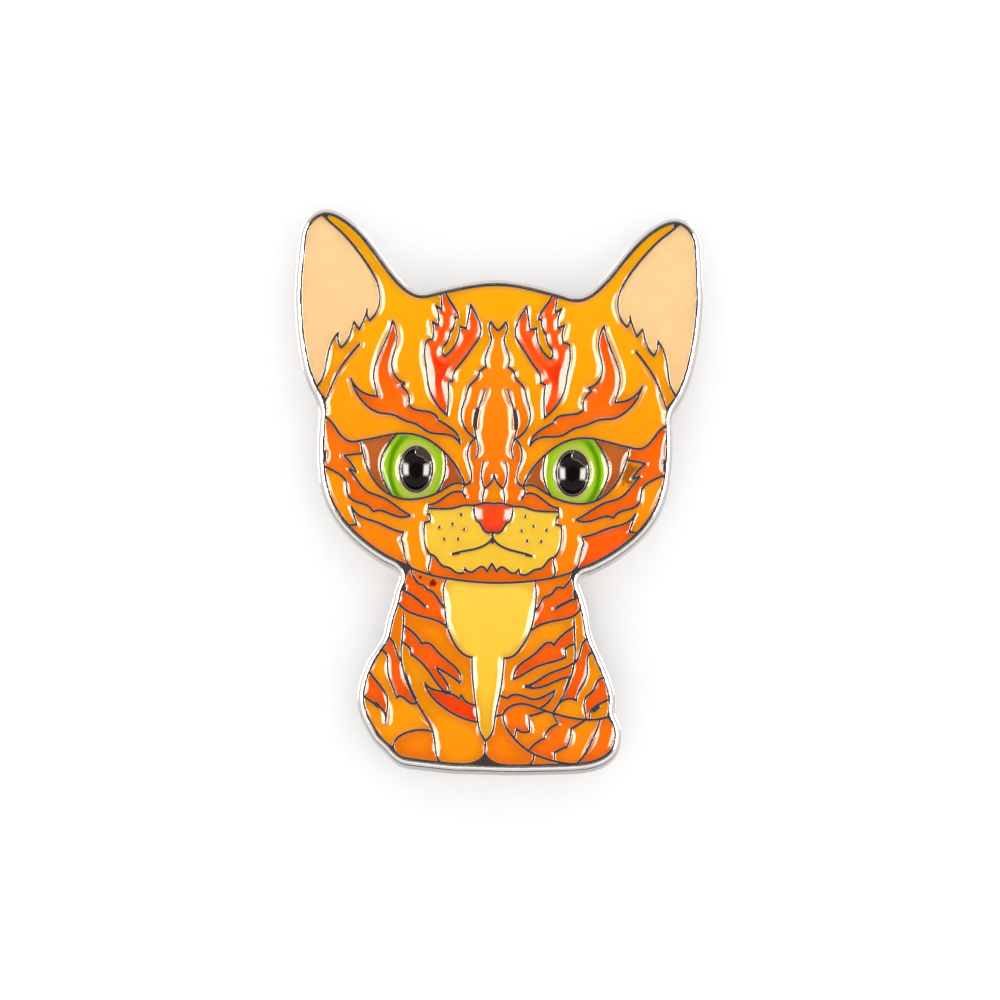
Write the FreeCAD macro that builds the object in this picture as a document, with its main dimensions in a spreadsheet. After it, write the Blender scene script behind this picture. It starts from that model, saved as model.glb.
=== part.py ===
import FreeCAD, Part
import os

import Sketcher
from FreeCAD import Placement, Rotation, Vector

# Soft enamel pin in the shape of a sitting tabby kitten, with two posts and two butterfly clutches.
# Millimetres. +Z is up the kitten, the front faces -Y, the flat back lies in the plane y = 0.
# The origin is on the back, on the middle line of the head, half way between the two posts.
# Left and right are as seen by someone looking at the front.

doc = FreeCAD.newDocument("kitten_pin")
sheet = doc.addObject("Spreadsheet::Sheet", "Sizes")

SIZES = [
    ("plate_thickness", 1.8, "back face to the top of the raised lines"),
    ("edge_width", 0.25, "plate outside the rim line"),
    ("edge_rounding", 0.43, "rounding of the front edge"),
    ("rim_half_width", 0.12, "half the rim line"),
    ("line_width", 0.17, "flat top of a raised line"),
    ("pocket_depth", 0.45, "raised lines down to the pocket floor"),
    ("enamel_thickness", 0.33, "enamel on the pocket floor"),
    ("enamel_gap", 0.008, "room between enamel and pocket wall"),
    ("dot_radius", 0.11, "whisker dot"),
    ("post_spacing", 18.0, "between the two posts"),
    ("foot_radius", 1.5, "soldered foot of a post"),
    ("foot_thickness", 0.35, "soldered foot of a post"),
    ("seat_radius", 1.52, "round seat in the back for the foot"),
    ("shank_radius", 0.55, "post between the foot and the point"),
    ("neck_radius", 0.38, "groove near the tip"),
    ("neck_start", 7.2, "groove near the tip"),
    ("neck_length", 0.6, "groove near the tip"),
    ("cone_start", 8.2, "where the point begins"),
    ("post_length", 9.6, "back face to the point"),
    ("point_radius", 0.08, "blunt end of the point"),
    ("clutch_gap", 2.35, "plate to clutch, room for cloth"),
    ("disc_radius", 5.75, "clutch disc"),
    ("disc_thickness", 0.35, "clutch disc"),
    ("lip_height", 0.45, "raised lip round the clutch disc"),
    ("disc_rounding", 0.25, "rounding of the clutch disc's rim"),
    ("clutch_hole_radius", 0.8, "hole for the post"),
    ("cap_radius", 3.1, "clutch cap"),
    ("cap_height", 3.2, "clutch cap"),
    ("cap_wall", 0.3, "clutch cap"),
    ("cap_corner", 0.7, "rounding of the cap top"),
    ("slot_width", 3.9, "slot in the cap for a wing"),
    ("slot_height", 2.65, "slot in the cap for a wing"),
    ("slot_reach", 2.2, "inner end of the slot from the axis"),
    ("wing_width", 3.4, "wing along z"),
    ("wing_sheet", 0.3, "wing sheet thickness"),
    ("jaw_radius", 0.62, "half-round jaw round the post"),
    ("jaw_end", 0.1, "jaw edge from the axis"),
    ("jaw_height", 1.3, "jaw above the clutch underside"),
    ("bend_reach", 1.9, "where the wing bends up"),
    ("pivot_reach", 2.95, "where the wing leaves the cap"),
    ("pivot_height", 2.8, "pivot above the clutch underside"),
    ("tip_reach", 6.1, "outer end of the wing"),
    ("tip_height", 6.4, "outer end above the clutch underside"),
    ("wing_corner", 1.3, "rounding of the wing tip"),
]

for row, (name, value, meaning) in enumerate(SIZES, start=1):
    sheet.set(f"A{row}", name)
    sheet.set(f"B{row}", str(value))
    sheet.setAlias(f"B{row}", name)
    sheet.set(f"C{row}", meaning)
doc.recompute()


def size(name):
    return float(sheet.get(name))


# ---------------------------------------------------------------- line art
# A stroke is a list of smooth runs; each run after the first starts where the one before it ended.
# All points are (x, z) on the front, at the middle of the raised line.

OUTLINE_RIGHT = [
    [(0, 14.08), (1, 14.02), (3, 13.63), (4.4, 13.27), (5.35, 13.08), (6.1, 13.3), (6.9, 13.92),
     (8.2, 15.5), (9.8, 17.45), (10.9, 18.33), (12.15, 18.72), (13.05, 18.15), (13.5, 16.4),
     (13.66, 13.5), (13.42, 10.3), (12.85, 7.7), (12.3, 6.45), (11.85, 5.8)],
    [(11.75, 5.2), (11.78, 4), (11.8, 2.6), (11.55, 0), (11.2, -1.1), (9.95, -3), (8.6, -4.2),
     (7.2, -5.1), (5.6, -5.75)],
]

OUTLINE_BODY = [
    [(5.6, -5.75), (5.62, -6.5), (6.0, -7.7), (6.37, -9.0), (6.63, -10.3), (6.95, -11.1), (7.75, -12.8),
     (8.25, -14.3), (8.32, -15.0), (8.2, -15.8)],
    [(8.55, -16.2), (8.77, -17.1), (8.5, -18.15), (7.5, -18.88), (6, -19.18), (4, -19.3), (2.2, -19.38),
     (0.8, -19.32), (0.2, -19.1)],
    [(-0.15, -19.04), (-0.5, -19.1)],
    [(-1.1, -19.33), (-2.4, -19.38), (-4.0, -19.25), (-5.3, -19.12), (-6.05, -18.9), (-6.42, -18.38)],
    [(-7.0, -18.0), (-8.0, -16.7), (-8.55, -15.3), (-8.55, -14.3), (-8.2, -13), (-7.5, -11.65),
     (-7.0, -10.8), (-6.78, -9.7), (-6.42, -8.4), (-6.1, -7.0), (-5.6, -5.75)],
]

CHIN_LINE = [[(-5.55, -5.85), (-4.2, -6.3), (-2, -6.63), (0, -6.74), (2, -6.63), (4.2, -6.28), (5.55, -5.85)]]


def ear_strokes():
    inner = [
        [(12.15, 18.55), (11.78, 18.17), (11.3, 17.78), (9.93, 16.35), (8.85, 14.85), (8.22, 13.35),
         (8.3, 12.15), (8.85, 11.33)],
        [(9.0, 11.6), (9.03, 12.1)],
        [(9.2, 11.5), (9.55, 10.68)],
        [(9.93, 11.2)],
        [(10.05, 10.7), (10.3, 9.95), (10.75, 9.38)],
        [(10.92, 9.7), (10.98, 10.4)],
        [(11.45, 9.6), (11.7, 8.6), (11.9, 7.4), (12.35, 6.6)],
    ]
    fold = [[(9.5, 9.65), (10.4, 8.5), (10.95, 7.6), (11.4, 6.5), (11.75, 5.6)]]
    return [inner, fold]


def crown_strokes():
    flames = [
        [(4.02, 13.4), (3.95, 12.8), (3.9, 12.2)],
        [(4.33, 12.5)],
        [(4.1, 11.7), (4.12, 11.12)],
        [(4.55, 11.35)],
        [(4.42, 10.7), (4.5, 10.1)],
        [(4.82, 10.05), (4.98, 9.65)],
        [(5.0, 9.0), (4.83, 7.9), (4.68, 6.85), (4.1, 5.65), (3.35, 4.85)],
        [(3.3, 5.4), (3.33, 7.15)],
        [(3.0, 7.3)],
        [(2.93, 7.9), (2.5, 8.5), (1.7, 9.7), (1.2, 10.6), (1.35, 11.5), (1.93, 12.6)],
        [(2.05, 11.8), (2.2, 10.95)],
        [(2.65, 11.08)],
        [(2.75, 10.2), (3.1, 9.5), (3.65, 8.95)],
        [(3.8, 9.3), (3.68, 9.7)],
        [(3.42, 10.1), (3.3, 10.65)],
        [(3.08, 11.0), (2.98, 11.68)],
        [(2.75, 11.72)],
        [(3.0, 12.3), (3.4, 12.9), (3.7, 13.5)],
    ]
    return [flames]


def forehead_strokes():
    fork = [[(0, 10.85), (0.22, 11.05), (0.5, 11.45)],
            [(0.62, 10.9), (0.45, 10.35), (0.66, 9.5), (0.75, 8.35)],
            [(1.22, 7.97)],
            [(1.3, 7.6), (1.85, 6.95), (2.1, 6.1), (2.37, 5.1), (2.15, 4.1), (1.38, 3.3)],
            [(1.75, 2.8), (1.87, 2.2), (1.6, 1.0), (1.6, 0.35), (1.98, 0.02)]]
    slit = [[(0.78, 6.68), (1.1, 5.7), (1.4, 4.6), (1.35, 3.5), (1.15, 2.7), (1.3, 1.95)]]
    bridge = [[(0, 0.8), (0.42, 0.0), (0.62, -0.15)],
              [(0.72, -0.7), (0.75, -1.25)]]
    crease = [[(0.75, 1.65), (0.88, 0.7), (0.62, -0.15)]]
    return [fork, slit, bridge, crease]


def temple_strokes():
    stripe = [
        [(7.3, 11.35), (7.6, 10.2), (8.15, 8.9), (8.47, 7.5), (8.3, 6.6), (8.13, 6.05)],
        [(9.1, 6.25), (10.03, 7.2)],
        [(9.75, 6.5), (8.9, 5.4), (8.0, 4.9), (7.1, 4.8), (6.2, 4.4), (5.4, 4.15), (4.6, 3.65), (3.3, 3.5),
         (2.4, 2.9)],
        [(2.6, 3.5), (3.3, 4.12), (3.95, 4.5)],
        [(4.35, 4.97), (5.0, 5.1), (6.0, 5.5)],
        [(5.98, 5.95), (6.55, 6.82)],
        [(6.32, 7.02)],
        [(6.95, 7.45), (7.24, 8.3), (6.98, 9.6), (7.0, 10.7), (7.3, 11.35)],
    ]
    return [stripe]


def cheek_strokes():
    upper = [[(11.78, 4.55), (11.0, 3.8), (10.6, 3.25), (9.25, 2.93)]]
    notched = [
        [(9.1, 2.05), (10.35, 1.85)],
        [(9.75, 1.2), (9.48, 0.75)],
        [(9.98, 0.92)],
        [(9.5, 0.3), (8.7, -0.58), (7.6, -1.0), (6.5, -1.7), (5.7, -2.2)],
        [(6.4, -2.32), (7.2, -2.07), (7.8, -1.9), (8.25, -2.02)],
        [(8.85, -1.5), (9.7, -1.2), (10.03, -0.8), (10.15, 0.0), (10.9, 0.7), (11.75, 1.1)],
    ]
    lower = [
        [(9.95, -3.02), (9.35, -2.95)],
        [(9.55, -2.3), (9.75, -1.7)],
        [(9.0, -2.4), (7.9, -2.75), (7.0, -3.15), (6.12, -3.4)],
        [(6.27, -3.85)],
        [(6.05, -4.7), (5.95, -5.2), (5.5, -5.85)],
    ]
    return [upper, notched, lower]


def eye_strokes():
    lids = [
        [(9.25, 2.93), (7.8, 3.25), (6.4, 3.5), (5.0, 3.3), (3.6, 2.4), (2.6, 1.25), (1.98, 0.02)],
        [(2.6, 0.13), (3.7, -0.48), (4.9, -0.97), (6.1, -1.08), (7.2, -0.75), (8.2, 0.15), (8.9, 1.5),
         (9.25, 2.93)],
    ]
    iris_outer = [[(6.75, 3.5), (7.5, 2.4), (7.83, 1.2), (7.55, 0.1), (6.95, -0.9)]]
    iris_inner = [[(3.55, 2.38), (3.35, 1.1), (3.95, -0.62)]]
    return [lids, iris_outer, iris_inner]


def muzzle_strokes():
    top = [[(0, -1.25), (0.7, -1.22), (1.35, -1.38), (1.9, -1.38), (2.7, -1.6), (3.6, -1.68), (4.48, -1.68)]]
    stripe = [[(1.98, 0.02), (2.13, -0.35), (1.93, -0.82)]]
    stripe_top = [[(2.12, -0.5), (3.0, -0.6), (3.7, -1.12), (4.45, -1.42)],
                  [(4.5, -1.98)],
                  [(4.33, -2.25), (4.32, -2.58)],
                  [(4.68, -2.66)],
                  [(4.71, -3.4), (4.62, -4.2), (4.25, -4.87)],
                  [(4.22, -5.3), (4.3, -5.6), (4.08, -6.35)]]
    chin = [[(4.25, -4.87), (3.98, -4.97), (3.35, -5.66), (2.95, -5.76), (2.5, -6.06), (1.92, -6.08)],
            [(1.85, -5.77)],
            [(1.2, -5.95), (0.8, -5.66), (0.33, -5.97)],
            [(0, -5.4)]]
    nose = [[(1.3, -1.38), (1.33, -1.75), (1.12, -2.45)],
            [(0.85, -2.67), (0.65, -3.03), (0, -3.2)]]
    mouth = [[(0, -3.2), (0.02, -3.6), (0.5, -4.12), (1.4, -4.47), (2.7, -4.8)]]
    return [top, stripe, stripe_top, chin, nose, mouth]


WHISKER_DOTS = [(2.2, -2.05), (2.78, -2.72), (3.68, -2.97), (1.97, -3.05), (2.37, -3.75), (3.33, -3.77)]

# Right eye. The catch-light sits at the upper right of the pupil in both eyes.
PUPIL_CENTRE = (5.37, 1.03)
PUPIL_RADII = (1.13, 1.56)
# Middle line of the catch-light, from the pupil's centre.
CATCHLIGHT = [(0.2, 1.22), (0.55, 1.12), (0.85, 0.86)]
CATCHLIGHT_WIDTH = 0.62


def bib_strokes():
    left = [[(-3.05, -6.5), (-3.27, -7.2), (-3.14, -8.6), (-2.95, -9.9), (-2.6, -10.7), (-2.0, -11.58),
             (-1.2, -11.95)],
            [(-1.18, -12.6), (-1.0, -14.3), (-0.75, -16.0), (-0.5, -17.1), (-0.13, -17.72)]]
    right = [[(2.95, -6.5), (3.08, -7.3), (3.0, -8.8), (2.75, -10.0), (2.2, -11.1), (1.7, -11.72),
              (1.0, -11.95)],
             [(0.95, -13.0), (0.78, -14.4), (0.5, -16.0), (0.28, -17.2), (-0.13, -17.72)]]
    toes = [[(-0.13, -17.72), (-0.15, -18.55)],
            [(-0.35, -18.9), (-0.75, -19.15)]]
    toe = [[(-0.15, -18.55), (0.05, -18.88), (0.45, -19.15)]]
    return [left, right, toes, toe]


def left_foreleg_strokes():
    shoulder = [[(-5.55, -5.9), (-5.25, -6.62), (-4.98, -6.95)],
                [(-4.7, -7.02), (-4.4, -7.33)],
                [(-4.0, -7.5), (-3.6, -8.0), (-3.15, -8.56)]]
    shoulder_stripe = [[(-6.45, -8.1), (-5.8, -8.8), (-4.8, -9.17), (-3.8, -9.42), (-2.92, -9.95)]]
    edge = [[(-5.95, -9.15), (-6.0, -10.6), (-6.02, -12.3), (-5.55, -13.8), (-4.6, -15.65), (-3.75, -17.15),
             (-3.55, -18.2), (-3.4, -18.95), (-3.15, -19.3)]]
    upper_stripe = [[(-5.98, -9.85), (-5.2, -10.4), (-4.65, -11.1)],
                    [(-4.35, -11.02), (-3.5, -11.68), (-2.4, -12.6), (-2.0, -13.1), (-1.95, -13.75)],
                    [(-2.6, -13.28), (-3.62, -12.72)],
                    [(-3.0, -13.6), (-2.75, -14.05), (-2.72, -14.5)]]
    upper_stripe_foot = [[(-6.0, -11.05), (-5.5, -11.4), (-5.38, -11.85)],
                         [(-4.6, -12.45), (-3.9, -13.3), (-3.3, -14.1), (-2.85, -14.45)]]
    lower_stripe = [[(-0.75, -16.42), (-2.1, -16.02), (-3.2, -15.35), (-3.9, -14.7), (-4.4, -13.8)],
                    [(-3.5, -14.33), (-2.85, -14.45), (-2.0, -14.86)],
                    [(-1.88, -14.58)],
                    [(-1.4, -15.1), (-0.9, -15.25)]]
    return [shoulder, shoulder_stripe, edge, upper_stripe, upper_stripe_foot, lower_stripe]


def left_haunch_strokes():
    front = [[(-6.95, -10.7), (-6.6, -11.1), (-6.3, -11.9), (-6.0, -12.35)]]
    back = [[(-7.5, -11.6), (-7.12, -11.8), (-6.95, -12.9), (-6.55, -14.2), (-6.28, -14.87)],
            [(-6.05, -14.76), (-5.4, -15.17), (-4.9, -15.2)]]
    outer = [[(-8.25, -13.0), (-7.5, -14.0), (-6.93, -14.9), (-6.9, -15.7), (-6.98, -16.65)]]
    outer_foot = [[(-8.6, -14.7), (-7.9, -15.25), (-7.35, -15.6), (-6.99, -16.4)]]
    paw = [[(-6.45, -18.4), (-6.1, -17.62), (-5.4, -17.23), (-4.5, -17.06), (-3.75, -17.18)]]
    return [front, back, outer, outer_foot, paw]


def right_foreleg_strokes():
    shoulder = [[(5.55, -5.9), (5.25, -6.6), (4.9, -7.0)],
                [(4.5, -6.97), (4.15, -7.4), (3.6, -7.7), (3.3, -8.25), (3.0, -8.65)]]
    shoulder_stripe = [[(6.2, -8.2), (5.6, -8.93), (4.6, -9.22), (3.7, -9.45), (2.8, -9.98)]]
    edge = [[(5.72, -9.15), (5.8, -10.4), (5.85, -11.8), (5.65, -13.0), (5.2, -14.25), (4.85, -14.95),
             (4.42, -15.7)]]
    upper_stripe = [[(5.78, -9.65), (5.0, -10.2), (4.4, -10.95)],
                    [(4.1, -10.78), (3.2, -11.5), (2.3, -12.2), (1.8, -12.8), (1.68, -13.38)],
                    [(2.4, -13.0), (3.2, -12.5), (4.2, -12.15), (5.25, -11.75)],
                    [(5.15, -11.25)],
                    [(5.45, -10.97), (5.78, -10.85)]]
    middle_stripe = [[(5.8, -12.12), (5.15, -12.52), (4.1, -12.95), (3.4, -13.42), (2.5, -13.88)],
                     [(3.2, -13.96), (4.0, -13.73), (4.5, -13.48), (5.55, -13.15)]]
    lower_stripe = [[(0.75, -14.55), (1.3, -14.72)],
                    [(1.8, -14.46), (2.4, -14.55), (3.1, -14.75), (3.8, -14.53), (4.55, -14.1)],
                    [(4.2, -14.8), (3.5, -15.38)]]
    return [shoulder, shoulder_stripe, edge, upper_stripe, middle_stripe, lower_stripe]


def right_haunch_strokes():
    front = [[(6.65, -10.45), (6.35, -10.8), (6.1, -11.7), (5.82, -12.15)]]
    back = [[(7.05, -11.35), (6.72, -11.7), (6.73, -12.6), (6.45, -13.6), (6.12, -14.2), (6.03, -14.75)],
            [(5.65, -14.63), (4.88, -14.95)]]
    outer = [[(8.0, -13.15), (7.5, -13.3), (7.1, -14.1), (6.68, -14.5), (6.6, -15.4), (6.75, -16.05)]]
    outer_foot = [[(8.3, -14.6), (7.5, -15.0), (7.05, -15.4), (6.95, -16.05)]]
    return [front, back, outer, outer_foot]


def tail_strokes():
    top = [[(0.5, -15.98), (1.02, -15.88)],
           [(1.35, -15.4), (2.2, -15.08), (3.4, -15.35), (4.7, -15.75), (6.2, -16.03), (7.4, -16.03),
            (8.25, -15.8)]]
    tip = [[(1.02, -15.88), (1.2, -16.6), (1.8, -17.45), (2.7, -18.25), (3.9, -18.8), (5.6, -19.15)]]
    tip_stripe = [[(3.95, -15.55), (2.8, -15.92)],
                  [(2.88, -16.95)],
                  [(2.5, -17.05), (1.98, -16.82)],
                  [(1.85, -17.5)]]
    middle = [[(4.42, -15.68), (4.8, -16.42)],
              [(4.1, -16.92), (3.9, -17.42)],
              [(3.3, -17.8), (2.85, -18.35)]]
    base = [[(6.7, -16.05), (6.2, -16.42), (5.7, -16.72)],
            [(5.68, -17.2), (5.45, -17.95)],
            [(4.6, -18.4)],
            [(4.65, -19.0)]]
    root = [[(7.7, -16.0), (7.4, -16.9), (7.02, -17.8), (6.6, -18.6), (6.05, -19.2)]]
    toes = [[(3.22, -18.5), (3.15, -18.95), (2.9, -19.35)]]
    return [top, tip, tip_stripe, middle, base, root, toes]


# Strokes that stand wider than the rest: (stroke, width).
def thick_strokes():
    head = [
        ([[(1.27, 5.25), (1.39, 4.65), (1.41, 4.1)]], 0.36),
        ([[(2.3, -4.74), (2.7, -4.8)]], 0.2),
        ([[(0, -3.7), (0, -3.9)]], 0.28),
        ([[(11.7, 2.0), (11.7, 1.5)]], 0.34),
        ([[(12.2, 18.62), (12.0, 18.55)]], 0.3),
    ]
    body = [
        ([[(-5.98, -7.1), (-5.95, -7.4)]], 0.3),
        ([[(-5.9, -7.5), (-5.1, -7.97), (-4.5, -8.5)]], 0.2),
        ([[(-5.7, -13.35), (-5.4, -14.15), (-5.0, -14.95)]], 0.28),
        ([[(-7.72, -15.33), (-7.5, -15.5)]], 0.3),
        ([[(-2.95, -14.43), (-2.65, -14.45)]], 0.3),
        ([[(5.72, -7.2), (5.74, -7.7)]], 0.28),
        ([[(5.6, -7.75), (4.95, -8.08), (4.42, -8.42)]], 0.2),
        ([[(5.58, -13.1), (5.3, -13.95)]], 0.26),
        ([[(7.5, -15.15), (7.22, -15.4)]], 0.34),
        ([[(2.55, -13.85), (2.9, -13.83)]], 0.26),
        ([[(-0.15, -18.65), (-0.15, -19.1)]], 0.28),
    ]
    return head, body


# ---------------------------------------------------------------- flat shapes
# Two points or edges closer than this are taken as touching.
NEAR = 1e-3
# Size of the disc at a line's end, as a share of the line's width.
END_SHARE = 0.97
# Points beside a line, for each stretch between two of its own points.
SIDE_STEPS = 3
# The plate's edge runs straight past the notch between the front paws, from one x to the other.
NOTCH = (-1.3, 1.0)
# The plate's edge: least distance between its points, the share of its distance from the rim that a point
# must keep in a narrow corner, and the number of curved edges that it is split into.
EDGE_SPACING = 0.5
EDGE_CLEARANCE = 0.985
EDGE_PARTS = 24


def on_plane(point):
    return Vector(point[0], 0, point[1])


def mirrored(stroke):
    return [[(-x, z) for x, z in run] for run in stroke]


def joined_runs(stroke):
    """Every run of the stroke with the end of the run before it put in front."""
    runs = [list(stroke[0])]
    for run in stroke[1:]:
        runs.append([runs[-1][-1]] + list(run))
    return runs


def smooth_curve(points):
    """A straight line through two points, a smooth spline through more."""
    if len(points) == 2:
        return Part.LineSegment(points[0], points[1])
    spline = Part.BSplineCurve()
    spline.interpolate(points)
    return spline


def side_points(run, offset):
    """Points beside a run, the offset to its left, close enough for a smooth side curve."""
    curve = smooth_curve([on_plane(point) for point in run])
    steps = 1 if len(run) == 2 else SIDE_STEPS * (len(run) - 1)
    first = curve.FirstParameter
    span = curve.LastParameter - first
    points = []
    for step in range(steps + 1):
        place = first + span * step / steps
        along = curve.tangent(place)[0]
        left = Vector(-along.z, 0, along.x)
        left.normalize()
        points.append(curve.value(place) + left * offset)
    return points


def band(run, width):
    """The flat top of one smooth run of line."""
    left = smooth_curve(side_points(run, width / 2)).toShape()
    right = smooth_curve(side_points(run, -width / 2)).toShape()
    start = Part.makeLine(left.firstVertex().Point, right.firstVertex().Point)
    end = Part.makeLine(left.lastVertex().Point, right.lastVertex().Point)
    wire = Part.Wire(Part.__sortEdges__([left, end, right, start]))
    return Part.Face(wire)


def disc(point, radius):
    circle = Part.makeCircle(radius, on_plane(point), Vector(0, -1, 0))
    return Part.Face(Part.Wire(circle))


def ellipse_face(centre, radii):
    """An upright ellipse, taller than wide."""
    middle = on_plane(centre)
    top = middle + Vector(0, 0, radii[1])
    side = middle + Vector(radii[0], 0, 0)
    ellipse = Part.Ellipse(top, side, middle)
    return Part.Face(Part.Wire(ellipse.toShape()))


def stroke_faces(stroke, width):
    """Bands along the runs, and a disc at the start and at every run's end.

    The discs are a hair smaller than the bands, so that the two never touch along a tangent."""
    runs = joined_runs(stroke)
    bands = [band(run, width) for run in runs]
    corners = [runs[0][0]] + [run[-1] for run in runs]
    return bands + [disc(corner, END_SHARE * width / 2) for corner in corners]


def pupil_faces(side, spread):
    """The raised ring round a pupil and the raised catch-light inside it; side is -1 or 1."""
    centre = (side * PUPIL_CENTRE[0], PUPIL_CENTRE[1])
    half = size("line_width") / 2 + spread
    outer = ellipse_face(centre, [radius + half for radius in PUPIL_RADII])
    inner = ellipse_face(centre, [radius - half for radius in PUPIL_RADII])
    middle = ellipse_face(centre, PUPIL_RADII)
    path = [(centre[0] + x, centre[1] + z) for x, z in CATCHLIGHT]
    parts = stroke_faces([path], CATCHLIGHT_WIDTH + 2 * spread)
    light = parts[0].fuse(parts[1:]).common(middle)
    return [outer.cut(inner)] + light.Faces


def head_strokes():
    """The lines of the right half of the head."""
    strokes = []
    for part in (ear_strokes, crown_strokes, forehead_strokes, temple_strokes, cheek_strokes,
                 eye_strokes, muzzle_strokes):
        strokes += part()
    return strokes


def body_strokes():
    strokes = [CHIN_LINE]
    for part in (bib_strokes, left_foreleg_strokes, left_haunch_strokes, right_foreleg_strokes,
                 right_haunch_strokes, tail_strokes):
        strokes += part()
    return strokes


def outline_runs():
    """The middle of the rim, once round the kitten, starting at the top and going right."""
    right = joined_runs(OUTLINE_RIGHT)
    left = [[(-x, z) for x, z in reversed(run)] for run in reversed(right)]
    return right + joined_runs(OUTLINE_BODY) + left


def outline_wire():
    edges = [smooth_curve([on_plane(point) for point in run]).toShape() for run in outline_runs()]
    return Part.Wire(Part.__sortEdges__(edges))


def metal_faces(spread):
    """The flat tops of all the raised metal, wider by the spread on every side."""
    width = size("line_width") + 2 * spread
    faces = []
    for stroke in head_strokes():
        faces += stroke_faces(stroke, width)
        faces += stroke_faces(mirrored(stroke), width)
    for stroke in body_strokes():
        faces += stroke_faces(stroke, width)
    head_thick, body_thick = thick_strokes()
    for stroke, own_width in head_thick:
        faces += stroke_faces(stroke, own_width + 2 * spread)
        faces += stroke_faces(mirrored(stroke), own_width + 2 * spread)
    for stroke, own_width in body_thick:
        faces += stroke_faces(stroke, own_width + 2 * spread)
    for x, z in WHISKER_DOTS:
        faces.append(disc((x, z), size("dot_radius") + spread))
        faces.append(disc((-x, z), size("dot_radius") + spread))
    rim = size("rim_half_width") + spread
    for run in outline_runs():
        faces.append(band(run, 2 * rim))
        faces.append(disc(run[-1], END_SHARE * rim))
    return faces + pupil_faces(-1, spread) + pupil_faces(1, spread)


def cell_faces(spread):
    """The areas between the raised lines."""
    return Part.Face(outline_wire()).cut(metal_faces(spread)).Faces


def in_notch(point):
    """Whether a point of the plate's edge lies in the notch between the front paws."""
    return point.z < CHIN_LINE[0][0][1] and NOTCH[0] < point.x < NOTCH[1]


def plate_face():
    """The whole plate seen from the front: a smooth closed curve a little outside the rim."""
    rim = outline_wire()
    offset = size("rim_half_width") + size("edge_width")
    points = []
    for run in outline_runs():
        for point in side_points(run, offset):
            clear = rim.distToShape(Part.Vertex(point))[0] > EDGE_CLEARANCE * offset
            apart = not points or point.distanceToPoint(points[-1]) > EDGE_SPACING
            if clear and apart and not in_notch(point):
                points.append(point)
    if points[0].distanceToPoint(points[-1]) < EDGE_SPACING:
        points.pop()
    curve = Part.BSplineCurve()
    curve.interpolate(Points=points, PeriodicFlag=True)
    span = (curve.LastParameter - curve.FirstParameter) / EDGE_PARTS
    edges = []
    for part in range(EDGE_PARTS):
        start = curve.FirstParameter + part * span
        edges.append(Part.Edge(curve, start, start + span))
    return Part.Face(Part.Wire(edges))


# ---------------------------------------------------------------- enamel fields
# Each enamel piece is named by one point inside every cell it fills.

MIDDLE_FIELDS = {
    "enamel_crown": [(0, 13)],
    "enamel_forehead": [(0, 5)],
    "enamel_nose_bridge": [(0, -0.6)],
    "enamel_nose": [(0, -2)],
    "enamel_muzzle": [(0, -5)],
    "enamel_chin": [(1, -6.3)],
    "enamel_bib": [(0, -9)],
    "enamel_neck": [(-4.2, -6.9), (4, -6.8)],
    "enamel_tail_coat": [(6.3, -17.8), (3.4, -16.8)],
    "enamel_tail_stripes": [(4.8, -17.6), (7.9, -17.5), (1.8, -16.2)],
}

# Right half of the head; the left half has the mirror image.
PAIRED_FIELDS = {
    "inner_ear": [(11.5, 14)],
    "crown_flame": [(4, 8)],
    "temple_stripe": [(7.8, 7.5)],
    "iris": [(7.2, 1.2)],
    "pupil": [(5, 0.5)],
    "eye_corners": [(8.3, 2.2), (2.9, 0.8)],
    "upper_cheek_stripe": [(11, 2.5)],
    "lower_cheek_stripe": [(8, -3.5)],
    "cheek": [(5.2, -4)],
}

BODY_FIELDS = {
    "enamel_left_shoulder_stripe": [(-4, -8.6)],
    "enamel_right_shoulder_stripe": [(4, -8.8)],
    "enamel_left_foreleg": [(-1.6, -13.6)],
    "enamel_right_foreleg": [(1.3, -13)],
    "enamel_left_upper_leg_stripe": [(-4, -12)],
    "enamel_right_upper_leg_stripe": [(4, -11.6)],
    "enamel_left_lower_leg_stripe": [(-2.2, -15.4)],
    "enamel_right_middle_leg_stripe": [(4.5, -13.1)],
    "enamel_right_lower_leg_stripe": [(2.2, -14.8)],
    "enamel_left_front_paw": [(-2.5, -17.5)],
    "enamel_right_front_paw": [(1.2, -18.3)],
    "enamel_left_hind_paw": [(-5, -18.2)],
    "enamel_right_hind_paw": [(3.7, -19.05)],
    "enamel_left_flank_stripe": [(-6.4, -13.2)],
    "enamel_right_flank_stripe": [(6.2, -13)],
    "enamel_left_haunch_stripe": [(-7.9, -14.4)],
    "enamel_right_haunch_stripe": [(7.5, -14.3)],
    "enamel_left_haunch": [(-5.5, -16)],
    "enamel_right_haunch": [(6.3, -15.2), (7.9, -15.5)],
}


def enamel_fields():
    """Every enamel piece with its marker points."""
    fields = dict(MIDDLE_FIELDS)
    for name, markers in PAIRED_FIELDS.items():
        fields[f"enamel_left_{name}"] = [(-x, z) for x, z in markers]
        fields[f"enamel_right_{name}"] = markers
    fields.update(BODY_FIELDS)
    return fields


def field_cells(cells):
    """The cells of every enamel piece; each cell must belong to exactly one piece."""
    free = list(cells)
    result = {}
    for name, markers in enamel_fields().items():
        result[name] = []
        for marker in markers:
            found = [cell for cell in free if cell.isInside(on_plane(marker), NEAR, True)]
            if len(found) != 1:
                raise ValueError(f"{name}: {len(found)} cells at {marker}")
            result[name].append(found[0])
            free.remove(found[0])
    if free:
        centres = [(round(cell.CenterOfMass.x, 2), round(cell.CenterOfMass.z, 2)) for cell in free]
        raise ValueError(f"cells without an enamel piece: {centres}")
    return result


# ---------------------------------------------------------------- document helpers
# How far a cutting tool sticks out of the face it cuts.
TOOL_MARGIN = 0.5


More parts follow.
